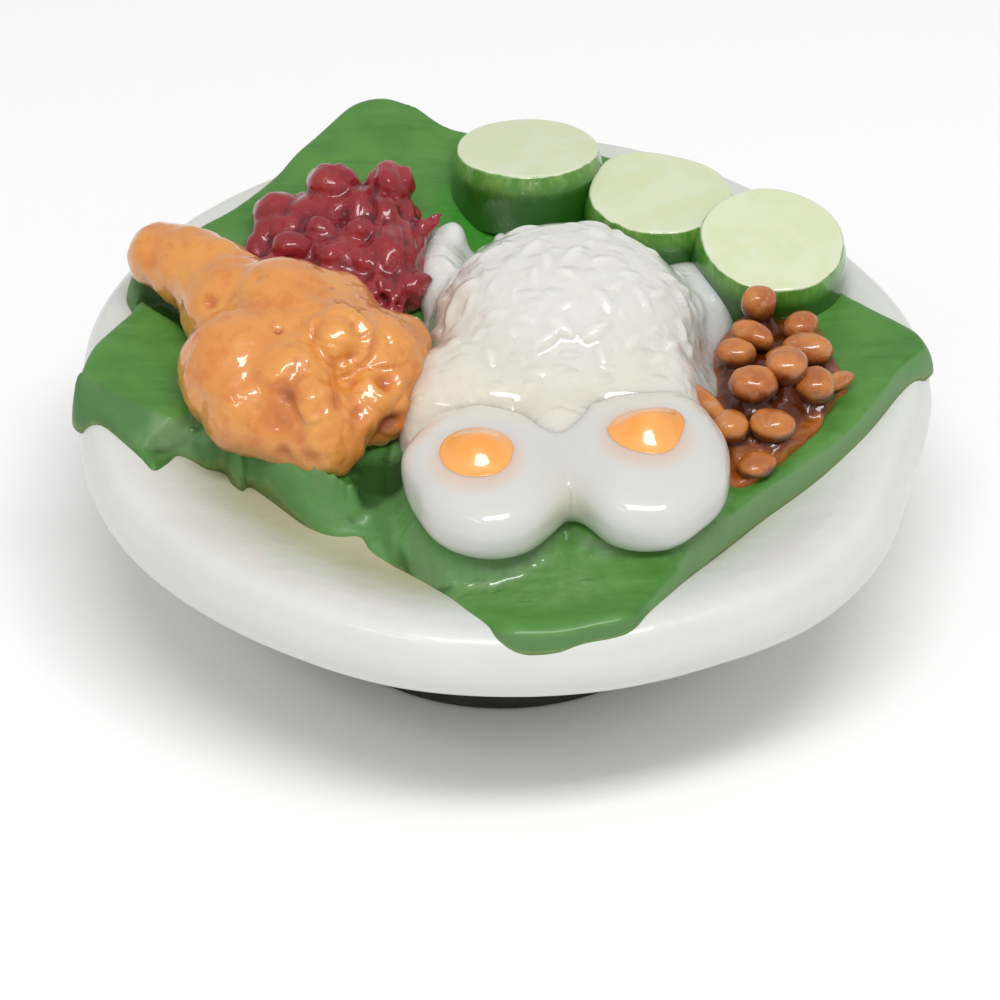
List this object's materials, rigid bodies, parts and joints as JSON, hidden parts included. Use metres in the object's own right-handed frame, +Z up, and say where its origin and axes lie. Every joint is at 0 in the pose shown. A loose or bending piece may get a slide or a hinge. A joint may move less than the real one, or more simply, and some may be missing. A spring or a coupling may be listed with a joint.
{
  "type": "nasi lemak miniature, cast resin fridge magnet",
  "caption": "Cast resin miniature of nasi lemak on a banana leaf in a thick white dish: rice, fried drumstick, sambal, cucumber, egg halves and peanuts, on a round magnet.",
  "frame": {"origin": "centre of the magnet's lower face, on the surface that it rests on", "axes": "+Z up out of the dish, +X to the diner's right, -Y towards the diner"},
  "size_m": [0.0612, 0.0595, 0.0288],
  "materials": {
    "dish_white": "thick clear gloss coat over white paint",
    "magnet_black": "sintered ferrite, dark and slightly dull",
    "leaf_green": "brushed green paint under gloss coat",
    "rice_white": "milky, grained, under gloss coat",
    "batter_gold": "lumpy batter, washed browner in the pits, glossy",
    "sambal_red": "wet-looking lumps, glossy",
    "cucumber_green": "pale cut faces with a painted green skin",
    "egg_white": "smooth white under gloss coat",
    "egg_yolk": "soft-edged orange paint under gloss coat",
    "peanut_brown": "brown nuts in dark glossy glaze"
  },
  "bodies": {
    "root": {"dish": "dish_white", "magnet": "magnet_black", "banana_leaf": "leaf_green", "rice": "rice_white", "chicken_drumstick": "batter_gold", "sambal": "sambal_red", "cucumber_slice_1": "cucumber_green", "cucumber_slice_2": "cucumber_green", "cucumber_slice_3": "cucumber_green", "egg_white_left": "egg_white", "egg_white_right": "egg_white", "egg_yolk_left": "egg_yolk", "egg_yolk_right": "egg_yolk", "peanuts": "peanut_brown"}
  },
  "joints": []
}
